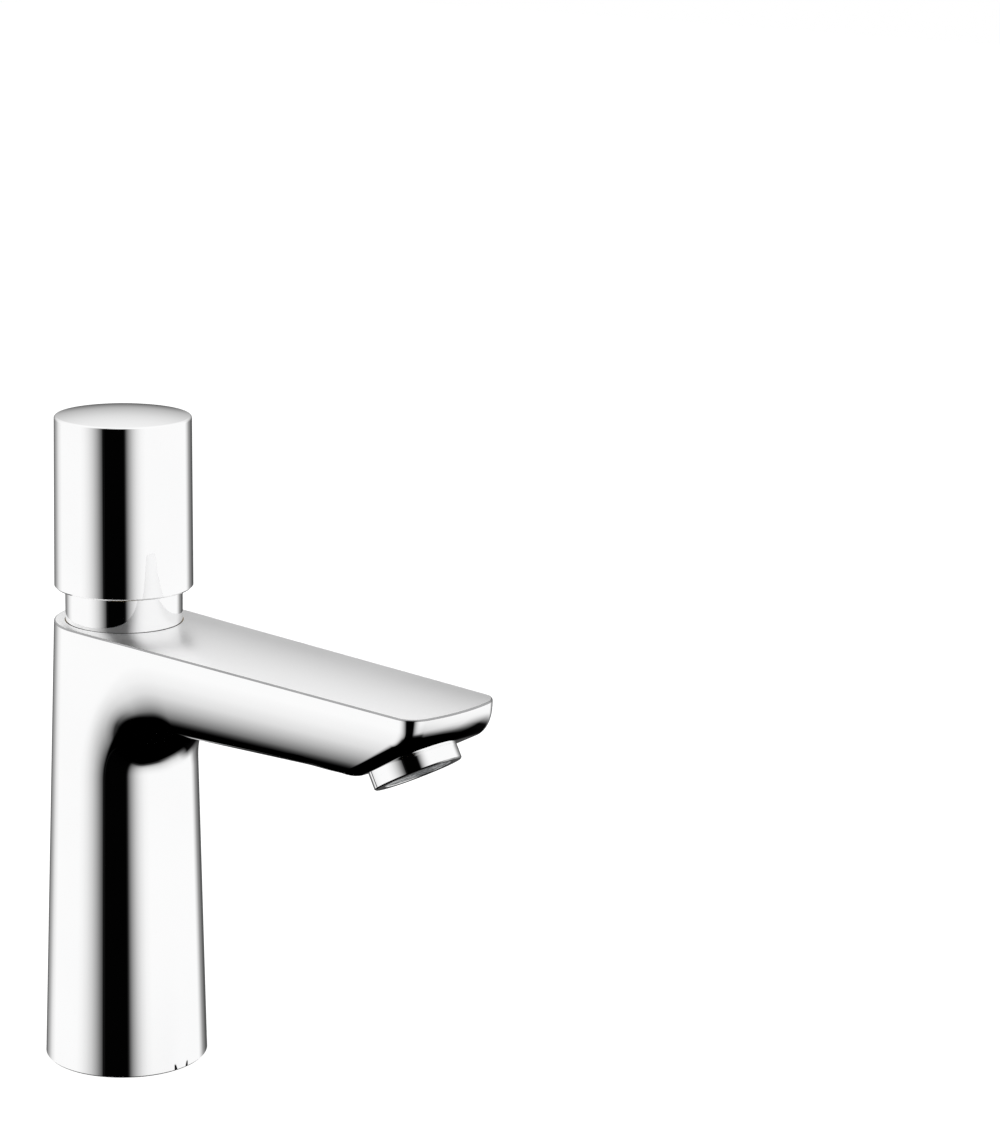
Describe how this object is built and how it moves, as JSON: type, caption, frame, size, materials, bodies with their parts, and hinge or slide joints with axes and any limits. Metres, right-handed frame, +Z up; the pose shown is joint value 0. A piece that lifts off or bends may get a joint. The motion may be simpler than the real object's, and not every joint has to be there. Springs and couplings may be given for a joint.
{
  "type": "basin mixer tap",
  "caption": "Deck-mounted chrome basin mixer: conical column, long flat-topped spout with a tilted aerator, and a cap that is pushed to open and turned for temperature.",
  "frame": {"origin": "centre of the column's base, on the face that stands on the basin", "axes": "+Z up along the column, spout along -Y, +X to the right seen from the front of the spout's root"},
  "size_m": [0.0478, 0.1565, 0.1943],
  "materials": {
    "body_chrome": "polished",
    "cap_chrome": "polished",
    "sleeve_chrome": "polished",
    "collar_chrome": "polished",
    "brass": "machined",
    "steel": "bright",
    "ceramic": "lapped",
    "white_plastic": "moulded",
    "grey_plastic": "moulded",
    "insert_plastic": "moulded",
    "rubber": "matte"
  },
  "bodies": {
    "body": {"tap_body": "body_chrome", "base_seal": "rubber", "cartridge_base": "white_plastic", "inlet_seals": "rubber", "fixed_disc": "ceramic", "cartridge_housing": "white_plastic", "housing_seals": "rubber", "rod_seal": "rubber", "latch_sleeve": "grey_plastic", "clamp_nut": "brass", "stop_ring": "grey_plastic", "neck_sleeve": "sleeve_chrome", "sleeve_seal": "rubber", "slide_ring": "white_plastic", "aerator_housing": "collar_chrome", "aerator_insert": "insert_plastic", "aerator_screen": "steel", "flow_regulator": "rubber", "aerator_washer": "rubber"},
    "mixer": {"mixing_disc": "ceramic", "disc_driver": "grey_plastic"},
    "button": {"push_cap": "cap_chrome", "cap_carrier": "grey_plastic", "cap_screw": "steel", "push_rod": "steel", "valve_seal": "rubber", "rotor_clip": "steel", "return_spring": "steel"},
    "latch": {"latch_rotor": "white_plastic"}
  },
  "joints": [
    {"name": "temperature_turn", "type": "hinge", "parent": "body", "child": "mixer", "pos_m": [0, 0, 0.09], "axis": [0, 0, 1], "range_deg": [-60, 60]},
    {"name": "cap_push", "type": "slide", "parent": "mixer", "child": "button", "axis": [0, 0, -1], "range_m": [0, 0.004], "stiffness_N_per_m": 1500, "springref_m": -0.006, "deforming": ["return_spring"]},
    {"name": "latch_turn", "type": "hinge", "parent": "button", "child": "latch", "pos_m": [0, 0, 0.133], "axis": [0, 0, 1], "range_deg": [0, 45.5]}
  ],
  "couplings": [
    {"joint": "latch_turn", "follows": "cap_push", "rad_per_m": 196.35}
  ]
}
